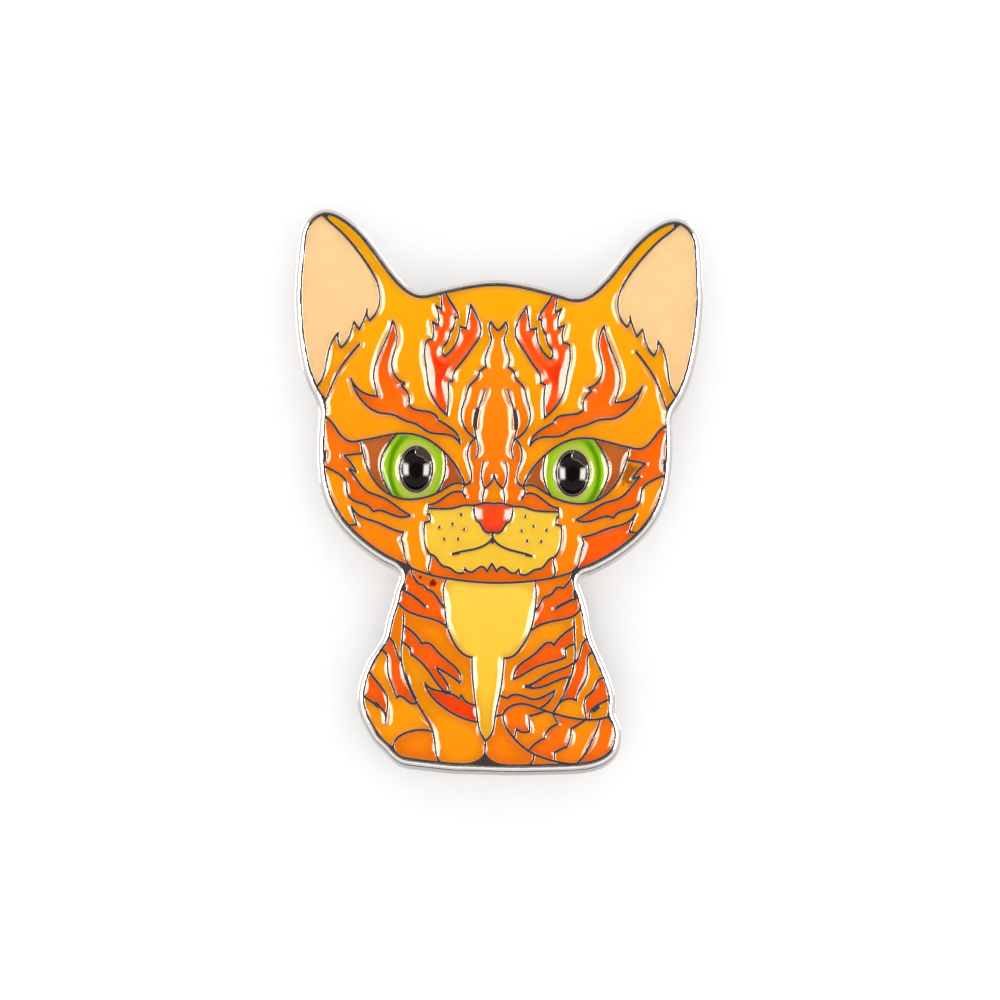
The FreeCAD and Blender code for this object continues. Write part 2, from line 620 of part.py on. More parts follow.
def flat_object(name, faces, level):
    """Flat faces parallel to the back; the level in front of it is a size expression."""
    item = doc.addObject("Part::Feature", name)
    item.Shape = Part.Compound(faces)
    item.setExpression(".Placement.Base.y", f"-({level})")
    return item


def extrusion(name, base, direction, length):
    """The flat base drawn out towards -Y or +Y by a size expression."""
    item = doc.addObject("Part::Extrusion", name)
    item.Base = base
    item.DirMode = "Custom"
    item.Dir = Vector(0, direction, 0)
    item.Solid = True
    item.setExpression("LengthFwd", length)
    return item


def new_body(name):
    body = doc.addObject("PartDesign::Body", name)
    body.Label = name
    return body


def origin_feature(body, role):
    for feature in body.Origin.OriginFeatures:
        if feature.Role == role:
            return (feature, [""])
    raise ValueError(role)


def plane_sketch(body, name, plane):
    sketch = body.newObject("Sketcher::SketchObject", name)
    sketch.AttachmentSupport = origin_feature(body, plane)
    sketch.MapMode = "FlatFace"
    return sketch


def bind_point(sketch, line, end, corner):
    """Tie one end of a line to the two size expressions of a corner."""
    origin = (-1, 1)
    for kind, axis, expression in (("DistanceX", -2, corner[0]), ("DistanceY", -1, corner[1])):
        value = sketch.evalExpression(expression)
        value = float(getattr(value, "Value", value))
        if value == 0:
            sketch.addConstraint(Sketcher.Constraint("PointOnObject", line, end, axis))
        elif value > 0:
            index = sketch.addConstraint(Sketcher.Constraint(kind, *origin, line, end, value))
            sketch.setExpression(f"Constraints[{index}]", expression)
        else:
            index = sketch.addConstraint(Sketcher.Constraint(kind, line, end, *origin, -value))
            sketch.setExpression(f"Constraints[{index}]", f"-({expression})")


def sketch_lines(sketch, corners, closed):
    """Straight lines from corner to corner; a corner is a pair of size expressions."""
    points = []
    for corner in corners:
        values = [sketch.evalExpression(expression) for expression in corner]
        x, y = [float(getattr(value, "Value", value)) for value in values]
        points.append(Vector(x, y, 0))
    count = len(points) if closed else len(points) - 1
    for index in range(count):
        following = (index + 1) % len(points)
        sketch.addGeometry(Part.LineSegment(points[index], points[following]), False)
    for index in range(count):
        following = index + 1
        if closed or following < count:
            joint = Sketcher.Constraint("Coincident", index, 2, following % count, 1)
            sketch.addConstraint(joint)
    for index in range(count):
        bind_point(sketch, index, 1, corners[index])
    if not closed:
        bind_point(sketch, count - 1, 2, corners[-1])


def turned(body, name, corners):
    """A closed profile in the XY plane turned once round the Y axis."""
    sketch = plane_sketch(body, f"{name}_profile", "XY_Plane")
    sketch_lines(sketch, corners, closed=True)
    turn = body.newObject("PartDesign::Revolution", f"{name}_turn")
    turn.Profile = sketch
    turn.ReferenceAxis = origin_feature(body, "Y_Axis")
    turn.Angle = 360
    sketch.Visibility = False
    doc.recompute()
    return turn


def rounded_edges(body, feature, name, edges, radius):
    """Round the given edges of a feature; the radius is a size expression."""
    fillet = body.newObject("PartDesign::Fillet", name)
    fillet.Base = (feature, edges)
    fillet.setExpression("Radius", radius)
    doc.recompute()
    return fillet


def circle_names(feature, radius, level):
    """The round edges of a turned shape with the given radius, at the given place along Y."""
    names = []
    for index, edge in enumerate(feature.Shape.Edges, start=1):
        if not isinstance(edge.Curve, Part.Circle):
            continue
        centre = edge.Curve.Center
        if abs(edge.Curve.Radius - radius) < NEAR and abs(centre.y - level) < NEAR:
            names.append(f"Edge{index}")
    return names


# ---------------------------------------------------------------- plate and enamel
def plate_blank():
    """The plain plate with its front edge rounded."""
    outline = flat_object("plate_outline", [plate_face()], "0")
    blank = extrusion("plate_blank", outline, -1, "Sizes.plate_thickness")
    doc.recompute()
    front = -size("plate_thickness")
    radius = size("edge_rounding")
    edges = []
    for index, edge in enumerate(blank.Shape.Edges, start=1):
        box = edge.BoundBox
        if abs(box.YMin - front) < NEAR and abs(box.YMax - front) < NEAR:
            edges.append((index, radius, radius))
    rounded = doc.addObject("Part::Fillet", "rounded_blank")
    rounded.Base = blank
    rounded.Edges = edges
    return rounded


def pockets():
    """Tools for all the recessed cells; they stick out a little in front of the plate."""
    level = f"Sizes.plate_thickness + {TOOL_MARGIN}"
    outlines = flat_object("pocket_outlines", cell_faces(0), level)
    return extrusion("pockets", outlines, 1, f"Sizes.pocket_depth + {TOOL_MARGIN}")


def post_seat(name, direction):
    """A round seat cut into the back for the foot of one post."""
    seat = doc.addObject("Part::Cylinder", name)
    seat.Placement = Placement(Vector(), Rotation(Vector(1, 0, 0), -90))
    seat.setExpression("Radius", "Sizes.seat_radius")
    seat.setExpression("Height", f"Sizes.foot_thickness + {TOOL_MARGIN}")
    seat.setExpression(".Placement.Base.y", "-Sizes.foot_thickness")
    seat.setExpression(".Placement.Base.z", f"{direction} * Sizes.post_spacing / 2")
    return seat


def die_struck_plate():
    struck = doc.addObject("Part::Cut", "struck_plate")
    struck.Base = plate_blank()
    struck.Tool = pockets()
    seats = doc.addObject("Part::Fuse", "post_seats")
    seats.Base = post_seat("upper_seat", 1)
    seats.Tool = post_seat("lower_seat", -1)
    plate = doc.addObject("Part::Cut", "die_struck_plate")
    plate.Base = struck
    plate.Tool = seats
    plate.Label = "die_struck_plate"
    return plate


def enamel_pieces():
    """Every enamel field, resting on its pocket floor and ending below the line tops."""
    pieces = []
    floor = "Sizes.plate_thickness - Sizes.pocket_depth"
    for name, cells in field_cells(cell_faces(size("enamel_gap"))).items():
        base = flat_object(f"{name}_outline", cells, floor)
        piece = extrusion(name, base, -1, "Sizes.enamel_thickness")
        piece.Label = name
        pieces.append(piece)
    return pieces


# ---------------------------------------------------------------- posts
def post(name, direction):
    """A turned post: foot, straight shank with a groove near the tip, and the point."""
    groove_end = "Sizes.neck_start + Sizes.neck_length"
    body = new_body(name)
    turned(body, name, [
        ("0", "-Sizes.foot_thickness"),
        ("Sizes.foot_radius", "-Sizes.foot_thickness"),
        ("Sizes.foot_radius", "0"),
        ("Sizes.shank_radius", "0"),
        ("Sizes.shank_radius", "Sizes.neck_start"),
        ("Sizes.neck_radius", "Sizes.neck_start"),
        ("Sizes.neck_radius", groove_end),
        ("Sizes.shank_radius", groove_end),
        ("Sizes.shank_radius", "Sizes.cone_start"),
        ("Sizes.point_radius", "Sizes.post_length"),
        ("0", "Sizes.post_length"),
    ])
    body.setExpression(".Placement.Base.z", f"{direction} * Sizes.post_spacing / 2")
    return body


# ---------------------------------------------------------------- clutches
def place_on_post(body, direction):
    """Clutch pieces are drawn round the Y axis with the clutch underside at y = 0."""
    body.setExpression(".Placement.Base.y", "Sizes.clutch_gap")
    body.setExpression(".Placement.Base.z", f"{direction} * Sizes.post_spacing / 2")


def clutch_disc(name, direction):
    """The flat disc of a clutch, with its rim turned up."""
    lip_top = "Sizes.disc_thickness + Sizes.lip_height"
    lip_inside = "Sizes.disc_radius - Sizes.disc_thickness"
    body = new_body(name)
    turn = turned(body, name, [
        ("Sizes.clutch_hole_radius", "0"),
        ("Sizes.disc_radius", "0"),
        ("Sizes.disc_radius", lip_top),
        (lip_inside, lip_top),
        (lip_inside, "Sizes.disc_thickness"),
        ("Sizes.clutch_hole_radius", "Sizes.disc_thickness"),
    ])
    rim = circle_names(turn, size("disc_radius"), 0)
    rounded_edges(body, turn, f"{name}_rim", rim, "Sizes.disc_rounding")
    place_on_post(body, direction)
    return body


def clutch_cap(name, direction):
    """The cup on the disc, open below, with a slot on each side for a wing."""
    top = "Sizes.disc_thickness + Sizes.cap_height"
    ceiling = f"{top} - Sizes.cap_wall"
    inside = "Sizes.cap_radius - Sizes.cap_wall"
    body = new_body(name)
    turn = turned(body, name, [
        (inside, "Sizes.disc_thickness"),
        ("Sizes.cap_radius", "Sizes.disc_thickness"),
        ("Sizes.cap_radius", top),
        ("Sizes.clutch_hole_radius", top),
        ("Sizes.clutch_hole_radius", ceiling),
        (inside, ceiling),
    ])
    height = size("disc_thickness") + size("cap_height")
    outer = circle_names(turn, size("cap_radius"), height)
    crown = rounded_edges(body, turn, f"{name}_crown", outer, "Sizes.cap_corner")
    inner = circle_names(crown, size("cap_radius") - size("cap_wall"), height - size("cap_wall"))
    rounded_edges(body, crown, f"{name}_inside", inner, "Sizes.cap_corner - Sizes.cap_wall")
    cut_slots(body, name, top)
    place_on_post(body, direction)
    return body


def cut_slots(body, name, top):
    half = "Sizes.slot_width / 2"
    floor = f"{top} - Sizes.slot_height"
    above = f"{top} + {TOOL_MARGIN}"
    sketch = plane_sketch(body, f"{name}_slot_outline", "YZ_Plane")
    sketch.setExpression(".AttachmentOffset.Base.z", "Sizes.slot_reach")
    corners = [(floor, f"-{half}"), (above, f"-{half}"), (above, half), (floor, half)]
    sketch_lines(sketch, corners, closed=True)
    slot = body.newObject("PartDesign::Pocket", f"{name}_slot")
    slot.Profile = sketch
    slot.Reversed = True
    slot.setExpression("Length", "Sizes.cap_radius")
    sketch.Visibility = False
    doc.recompute()
    both = body.newObject("PartDesign::PolarPattern", f"{name}_slots")
    both.Originals = [slot]
    both.Axis = origin_feature(body, "Y_Axis")
    both.Angle = 360
    both.Occurrences = 2
    body.Tip = both
    doc.recompute()


def wing(name, direction, turn):
    """A bent strip: jaw against the post, ramp out through the slot, raised outer arm.

    The turn about the post, 0 or 180 degrees, makes it the right or the left wing."""
    low = "Sizes.jaw_height - Sizes.wing_sheet / 2"
    high = "Sizes.jaw_height + Sizes.wing_sheet / 2"
    half = "Sizes.wing_width / 2"
    body = new_body(name)
    section = plane_sketch(body, f"{name}_section", "YZ_Plane")
    section.setExpression(".AttachmentOffset.Base.z", "Sizes.jaw_end")
    sketch_lines(section, [(low, f"-{half}"), (high, f"-{half}"), (high, half), (low, half)], closed=True)
    path = plane_sketch(body, f"{name}_path", "XY_Plane")
    sketch_lines(path, [
        ("Sizes.jaw_end", "Sizes.jaw_height"),
        ("Sizes.bend_reach", "Sizes.jaw_height"),
        ("Sizes.pivot_reach", "Sizes.pivot_height"),
        ("Sizes.tip_reach", "Sizes.tip_height"),
    ], closed=False)
    doc.recompute()
    strip = body.newObject("PartDesign::AdditivePipe", f"{name}_strip")
    strip.Profile = section
    strip.Spine = path
    strip.Transition = "Right corner"
    doc.recompute()
    cut_jaw(body, name)
    round_wing_tip(body, name)
    body.Placement = Placement(Vector(), Rotation(Vector(0, 1, 0), turn))
    place_on_post(body, direction)
    return body


def cut_jaw(body, name):
    """The half-round notch of the jaw that grips the post."""
    sketch = plane_sketch(body, f"{name}_notch_outline", "XZ_Plane")
    radius = size("jaw_radius")
    sketch.addGeometry(Part.Circle(Vector(), Vector(0, 0, 1), radius), False)
    sketch.addConstraint(Sketcher.Constraint("Coincident", 0, 3, -1, 1))
    index = sketch.addConstraint(Sketcher.Constraint("Radius", 0, radius))
    sketch.setExpression(f"Constraints[{index}]", "Sizes.jaw_radius")
    notch = body.newObject("PartDesign::Pocket", f"{name}_notch")
    notch.Profile = sketch
    notch.setExpression("Length", "Sizes.tip_height")
    sketch.Visibility = False
    doc.recompute()


def round_wing_tip(body, name):
    """Round the two outer corners of the strip."""
    tip = body.Tip
    reach = max(edge.BoundBox.XMax for edge in tip.Shape.Edges)
    corners = []
    for index, edge in enumerate(tip.Shape.Edges, start=1):
        is_short = abs(edge.Length - size("wing_sheet")) < NEAR
        if is_short and abs(edge.BoundBox.XMax - reach) < NEAR:
            corners.append(f"Edge{index}")
    rounded_edges(body, tip, f"{name}_tip", corners, "Sizes.wing_corner")


def clutch(place, direction):
    """The four pieces of one clutch; place is upper or lower."""
    return [
        clutch_disc(f"{place}_clutch_disc", direction),
        clutch_cap(f"{place}_clutch_cap", direction),
        wing(f"{place}_clutch_right_wing", direction, 0),
        wing(f"{place}_clutch_left_wing", direction, 180),
    ]


# ---------------------------------------------------------------- assembly
def check(parts):
    """Stop if anything failed to build, so that no bad piece is written."""
    for item in doc.Objects:
        if "Invalid" in item.State or "Error" in item.State:
            raise ValueError(f"{item.Name}: {item.State}")
    for part in parts:
        shape = part.Shape
        if shape.isNull() or not shape.isValid() or not shape.Solids or shape.Volume <= 0:
            raise ValueError(f"{part.Label}: bad shape")


def build():
    parts = [die_struck_plate()]
    parts += enamel_pieces()
    parts += [post("upper_post", 1), post("lower_post", -1)]
    parts += clutch("upper", 1)
    parts += clutch("lower", -1)
    doc.recompute()
    check(parts)
    os.makedirs("parts", exist_ok=True)
    for part in parts:
        part.Shape.exportStep(f"parts/{part.Label}.step")
    return parts


for part in build():
    shape = part.Shape
    print(part.Label, len(shape.Solids), round(shape.Volume, 3))
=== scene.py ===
"""Sitting kitten enamel pin: poured enamel, polished nickel and a white table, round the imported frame."""

import math

import bmesh
import bpy
import numpy as np
from mathutils import Matrix, Vector, geometry, kdtree, noise

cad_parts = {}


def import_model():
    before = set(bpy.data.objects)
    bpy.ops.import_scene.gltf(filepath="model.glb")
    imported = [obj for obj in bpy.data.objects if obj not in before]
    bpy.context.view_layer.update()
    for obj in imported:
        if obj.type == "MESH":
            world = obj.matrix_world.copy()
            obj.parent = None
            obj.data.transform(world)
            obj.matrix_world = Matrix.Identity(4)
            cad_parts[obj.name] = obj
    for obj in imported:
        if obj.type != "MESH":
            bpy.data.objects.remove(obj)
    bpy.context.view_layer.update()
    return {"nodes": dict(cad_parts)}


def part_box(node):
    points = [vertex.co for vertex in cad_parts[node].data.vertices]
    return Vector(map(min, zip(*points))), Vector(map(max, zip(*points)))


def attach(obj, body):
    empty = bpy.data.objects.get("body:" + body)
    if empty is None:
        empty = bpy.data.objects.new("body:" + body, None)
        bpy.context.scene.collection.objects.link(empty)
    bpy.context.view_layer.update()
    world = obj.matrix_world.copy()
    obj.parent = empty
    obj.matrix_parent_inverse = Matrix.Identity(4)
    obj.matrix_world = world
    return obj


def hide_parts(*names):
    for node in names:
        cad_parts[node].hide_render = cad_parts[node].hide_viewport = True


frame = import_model()
nodes = frame["nodes"]

MM = 0.001
PLATE = "die_struck_plate"
LINE_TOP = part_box(PLATE)[0].y

# Poured enamel: how far its middle lies below the lines, how far it climbs at its edge, how far that reaches,
# and how close to the line tops it may come.
FILL_DEPTH = 0.34 * MM
FILL_LEVEL = LINE_TOP + FILL_DEPTH
EDGE_CLIMB = 0.28 * MM
CLIMB_REACH = 0.42 * MM
LINE_CLEARANCE = 0.02 * MM
HIGHEST_CLIMB = FILL_DEPTH - LINE_CLEARANCE
# The climb varies along an edge by this share, and the middle of a fill waves by this height.
CLIMB_UNEVENNESS = 0.32
FILL_WAVE = 0.018 * MM
# Waves per metre, along an edge and across the middle of a fill.
UNEVENNESS_SCALE = 700
WAVE_SCALE = 380
# Fills whose edges differ from the rest: shares of the climb and of its reach, and the form of the surface.
# An edge form is flat in the middle, a valley has straight sides, and an oval is one even bowl.
EDGE_SHAPES = {
    "inner_ear": (0.3, 1.0, "edge"),
    "muzzle": (0.6, 0.9, "edge"),
    "crown_flame": (0.78, 0.6, "valley"),
    "nose": (1.1, 1.0, "oval"),
    "bib": (1.1, 1.4, "edge"),
    "pupil": (1.12, 1.0, "oval"),
    "front_paw": (1.15, 1.5, "edge"),
    "hind_paw": (1.15, 1.5, "edge"),
    "left_foreleg": (1.12, 1.45, "edge"),
    "cheek": (0.85, 0.9, "edge"),
}
VALLEY_WIDTH = 0.52 * MM
# A little over 1, so that a valley's side eases into its floor.
VALLEY_EASE = 1.1
# For each oval bowl: how much more it rises towards its top and bottom than towards its sides, and how far
# its lowest point lies above the middle, as a share of half its height.
OVALS = {
    "nose": (0.7, 0.3),
    "pupil": (1.5, 0.0),
}
# Round a raised dot the enamel climbs only this share; a dot's rim is shorter than this.
DOT_CLIMB = 0.2
DOT_RIM = 1.2 * MM
# Corners nearer than this are one corner, and no piece of a rim is longer than the step.
WELD = 0.002 * MM
EDGE_STEP = 0.08 * MM
# Mesh spacing inside a fill, by distance from its edge.
SPACINGS = [(0.45 * MM, 0.075 * MM), (0.9 * MM, 0.14 * MM), (99 * MM, 0.32 * MM)]
# Limits that keep sliver triangles from upsetting the surface solver.
SMALLEST_AREA = 1e-14
WEAKEST_PULL = 0.01
STRONGEST_PULL = 20
# The solver stops at this error for each point, or after this many rounds.
SOLVER_ERROR = 1e-22
SOLVER_ROUNDS = 300


# ---------------------------------------------------------------- enamel meshes
def front_rims(mesh):
    """Points (x, z) and edges round the front face of an enamel node."""
    level = min(v.co.y for v in mesh.vertices)
    index_of = {}
    points = []
    welded = {}
    for vertex in mesh.vertices:
        if vertex.co.y > level + WELD:
            continue
        key = (round(vertex.co.x / WELD), round(vertex.co.z / WELD))
        if key not in index_of:
            index_of[key] = len(points)
            points.append((vertex.co.x, vertex.co.z))
        welded[vertex.index] = index_of[key]
    uses = {}
    for polygon in mesh.polygons:
        if not all(v in welded for v in polygon.vertices):
            continue
        corners = [welded[v] for v in polygon.vertices]
        if len(set(corners)) < 3:
            continue
        for a, b in zip(corners, corners[1:] + corners[:1]):
            edge = (min(a, b), max(a, b))
            uses[edge] = uses.get(edge, 0) + 1
    return points, [edge for edge, count in uses.items() if count == 1]


def split_edges(points, edges):
    """The same rim with no edge longer than EDGE_STEP."""
    points = list(points)
    pieces = []
    for a, b in edges:
        start = np.array(points[a])
        end = np.array(points[b])
        count = max(1, math.ceil(np.linalg.norm(end - start) / EDGE_STEP))
        chain = [a]
        for step in range(1, count):
            chain.append(len(points))
            points.append(tuple(start + (end - start) * step / count))
        chain.append(b)
        pieces += list(zip(chain, chain[1:]))
    return points, pieces


def row_points(ends, level, spacing, shift):
    """Points of one level row that lie inside the rim, by pairing the places where the row crosses it."""
    x1, z1, x2, z2 = ends
    crossed = (z1 > level) != (z2 > level)
    share = (level - z1[crossed]) / (z2[crossed] - z1[crossed])
    crossings = np.sort(x1[crossed] + share * (x2[crossed] - x1[crossed]))
    points = []
    for start, end in zip(crossings[::2], crossings[1::2]):
        first = math.ceil((start - shift) / spacing)
        last = math.floor((end - shift) / spacing)
        points += [(shift + step * spacing, level) for step in range(first, last + 1)]
    return points


def rim_ends(points, edges):
    """Coordinates x and z of the first ends, then of the second ends, of the rim's edges."""
    places = np.array(points)
    pairs = np.array(edges)
    return (*places[pairs[:, 0]].T, *places[pairs[:, 1]].T)


def filling_points(points, edges):
    """Points inside the rim on triangular grids, close together near it and sparse far from it."""
    tree = kdtree.KDTree(len(points))
    for index, (x, z) in enumerate(points):
        tree.insert((x, z, 0), index)
    tree.balance()
    ends = rim_ends(points, edges)
    low, high = ends[1].min(), ends[1].max()
    chosen = []
    near = 0
    for far, spacing in SPACINGS:
        row_step = spacing * math.sqrt(3) / 2
        gap = max(near, 0.6 * spacing)
        for row in range(1, math.ceil((high - low) / row_step)):
            for x, z in row_points(ends, low + row * row_step, spacing, row % 2 * spacing / 2):
                if gap < tree.find((x, z, 0))[2] <= far:
                    chosen.append((x, z))
        near = far + 0.3 * spacing
    return chosen


def is_inside(x, z, ends):
    """Whether a point lies inside the rim, by counting how often a ray from it crosses the rim."""
    x1, z1, x2, z2 = ends
    crossed = (z1 > z) != (z2 > z)
    share = (z - z1[crossed]) / (z2[crossed] - z1[crossed])
    return np.count_nonzero(x1[crossed] + share * (x2[crossed] - x1[crossed]) > x) % 2 == 1


def side_keys(face):
    """The three sides of a triangle as sorted pairs."""
    a, b, c = face
    return [(min(a, b), max(a, b)), (min(b, c), max(b, c)), (min(c, a), max(c, a))]


def regions(faces, walls):
    """Groups of triangles that touch along a side which isn't a wall."""
    owners = {}
    for number, face in enumerate(faces):
        for side in side_keys(face):
            if side not in walls:
                owners.setdefault(side, []).append(number)
    unseen = set(range(len(faces)))
    groups = []
    while unseen:
        group = [unseen.pop()]
        for number in group:
            for side in side_keys(faces[number]):
                for other in owners.get(side, []):
                    if other in unseen:
                        unseen.remove(other)
                        group.append(other)
        groups.append(group)
    return groups


def triangulated(points, edges):
    """Triangles inside the rim, holes left open, and the input points that each output point stands for."""
    flat = [Vector(point) / MM for point in points]
    verts, lines, faces, sources, line_sources, _ = geometry.delaunay_2d_cdt(flat, edges, [], 0, 1e-6, True)
    walls = {(min(line), max(line)) for line, source in zip(lines, line_sources) if source}
    verts = np.array([tuple(v) for v in verts]) * MM
    faces = [tuple(face) for face in faces]
    ends = rim_ends(points, edges)
    kept = []
    for group in regions(faces, walls):
        corners = verts[[faces[number] for number in group]]
        sizes = np.abs(np.cross(corners[:, 1] - corners[:, 0], corners[:, 2] - corners[:, 0]))
        x, z = corners[sizes.argmax()].mean(0)
        if is_inside(x, z, ends):
            kept += [faces[number] for number in group]
    return verts, np.array(kept), sources


def rim_edges(faces):
    """Sides that only one triangle has, in that triangle's direction."""
    owners = {}
    for face in faces:
        for side in zip(face, np.roll(face, -1)):
            owners.setdefault((min(side), max(side)), []).append(side)
    return [sides[0] for sides in owners.values() if len(sides) == 1]


def membrane(verts, faces):
    """The triangles as a stretched skin: each side's two ends and its pull, and the area round each point."""
    a, b, c = verts[faces[:, 0]], verts[faces[:, 1]], verts[faces[:, 2]]
    area = np.maximum(np.abs(np.cross(b - a, c - a)) / 2, SMALLEST_AREA)
    share = np.zeros(len(verts))
    starts, ends, pulls = [], [], []
    for corner in range(3):
        np.add.at(share, faces[:, corner], area / 3)
        p = verts[faces[:, corner]]
        q = verts[faces[:, (corner + 1) % 3]] - p
        r = verts[faces[:, (corner + 2) % 3]] - p
        cotangent = (q * r).sum(1) / (2 * area)
        starts.append(faces[:, (corner + 1) % 3])
        ends.append(faces[:, (corner + 2) % 3])
        pulls.append(np.clip(cotangent / 2, WEAKEST_PULL, STRONGEST_PULL))
    return np.concatenate(starts), np.concatenate(ends), np.concatenate(pulls), share


def climb(verts, faces, on_rim, rim_height, reach):
    """Rise of the liquid surface: a capillary edge, height = reach squared times curvature."""
    count = len(verts)
    start, end, pull, share = membrane(verts, faces)
    hold = share / reach ** 2
    diagonal = np.bincount(start, pull, count) + np.bincount(end, pull, count) + hold

    def operator(height):
        flow = pull * (height[start] - height[end])
        return np.bincount(start, flow, count) - np.bincount(end, flow, count) + hold * height

    free = ~on_rim
    height = np.where(on_rim, rim_height, 0.0)
    residual = np.where(free, -operator(height), 0.0)
    diagonal = np.maximum(diagonal, 1e-12)
    ready = residual / diagonal
    search = ready.copy()
    score = (residual * ready).sum()
    for _ in range(SOLVER_ROUNDS):
        if score < SOLVER_ERROR * count:
            break
        image = np.where(free, operator(search), 0.0)
        step = score / (search * image).sum()
        height += step * search
        residual -= step * image
        ready = residual / diagonal
        new_score = (residual * ready).sum()
        search = ready + search * (new_score / score)
        score = new_score
    return height


def rim_heights(verts, seed, climb_share, on_dot):
    """How high the enamel climbs, uneven along its edge."""
    heights = np.zeros(len(verts))
    for index, (x, z) in enumerate(verts):
        value = noise.noise(Vector((x, seed * MM, z)) * UNEVENNESS_SCALE)
        heights[index] = climb_share * EDGE_CLIMB * (1 + CLIMB_UNEVENNESS * value)
    heights[on_dot] *= DOT_CLIMB
    return np.minimum(heights, HIGHEST_CLIMB)


def dot_points(points, edges):
    """Which rim points belong to the short rims of raised dots."""
    neighbours = {}
    for a, b in edges:
        neighbours.setdefault(a, []).append(b)
        neighbours.setdefault(b, []).append(a)
    found = set()
    unseen = set(neighbours)
    while unseen:
        rim = [unseen.pop()]
        for point in rim:
            for other in neighbours[point]:
                if other in unseen:
                    unseen.remove(other)
                    rim.append(other)
        length = sum(math.dist(points[a], points[b]) for a in rim for b in neighbours[a]) / 2
        if length < DOT_RIM:
            found.update(rim)
    return found


def oval_bowl(verts, climb_height, steepness, lift):
    """An even bowl round its lowest point, at full height at the ends left and right of that point."""
    low, high = verts.min(0), verts.max(0)
    place = (verts - (low + high) / 2) / ((high - low) / 2) - (0, lift)
    return climb_height * (place ** 2 @ (1, steepness))


def valley(rise, climb_height, reach):
    """A climbing surface made into one that falls evenly from the edge, over the valley's width."""
    away = -reach * np.log(np.clip(rise / climb_height, 1e-6, None))
    return climb_height * np.clip(1 - away / VALLEY_WIDTH, 0, None) ** VALLEY_EASE


def closed_mesh(name, top, top_faces, floor_level):
    """A mesh with the given top, straight walls and a flat floor."""
    shape = bmesh.new()
    used = sorted({int(index) for face in top_faces for index in face})
    upper = {index: shape.verts.new(top[index]) for index in used}
    for face in top_faces:
        shape.faces.new([upper[int(index)] for index in face])
    lower = {}
    for a, b in rim_edges(top_faces):
        for index in (a, b):
            if index not in lower:
                lower[index] = shape.verts.new((top[index][0], floor_level, top[index][2]))
        shape.faces.new((upper[b], upper[a], lower[a], lower[b]))
    rim = [edge for edge in shape.edges if edge.is_boundary]
    floor = bmesh.ops.triangle_fill(shape, edges=rim, use_beauty=True, normal=(0, 1, 0))
    for face in floor["geom"]:
        if isinstance(face, bmesh.types.BMFace) and face.normal.y < 0:
            face.normal_flip()
    mesh = bpy.data.meshes.new(name)
    shape.to_mesh(mesh)
    shape.free()
    mesh.shade_smooth()
    mesh.set_sharp_from_angle(angle=math.radians(50))
    return mesh


def enamel_fill(node_name, seed):
    """A closed enamel body with a climbing edge, in place of the flat CAD fill."""
    source = nodes[node_name].data
    points, edges = split_edges(*front_rims(source))
    rim_count = len(points)
    verts, faces, sources = triangulated(points + filling_points(points, edges), edges)
    on_rim = np.array([not source_list or min(source_list) < rim_count for source_list in sources])
    dots = dot_points(points[:rim_count], edges)
    on_dot = np.array([any(source in dots for source in source_list) for source_list in sources])
    fill = node_name.replace("enamel_", "")
    climb_share, reach_share, form = entry(EDGE_SHAPES, fill, (1, 1, "edge"))
    reach = reach_share * CLIMB_REACH
    edge_heights = rim_heights(verts, seed, climb_share, on_dot)
    if form == "oval":
        rise = oval_bowl(verts, climb_share * EDGE_CLIMB, *entry(OVALS, fill))
    else:
        rise = climb(verts, faces, on_rim, edge_heights, reach)
    if form == "valley":
        rise = valley(rise, climb_share * EDGE_CLIMB, reach)
    rise = np.minimum(rise, HIGHEST_CLIMB)
    wave_height = 0 if form == "oval" else FILL_WAVE
    top = []
    for (x, z), height in zip(verts, rise):
        wave = wave_height * noise.noise(Vector((x, seed * MM, z)) * WAVE_SCALE)
        top.append((x, FILL_LEVEL - height + wave, z))
    floor_level = max(v.co.y for v in source.vertices)
    name = f"{fill}_fill"
    piece = bpy.data.objects.new(name, closed_mesh(name, top, faces, floor_level))
    bpy.context.scene.collection.objects.link(piece)
    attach(piece, "pin")
    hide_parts(node_name)
    return piece


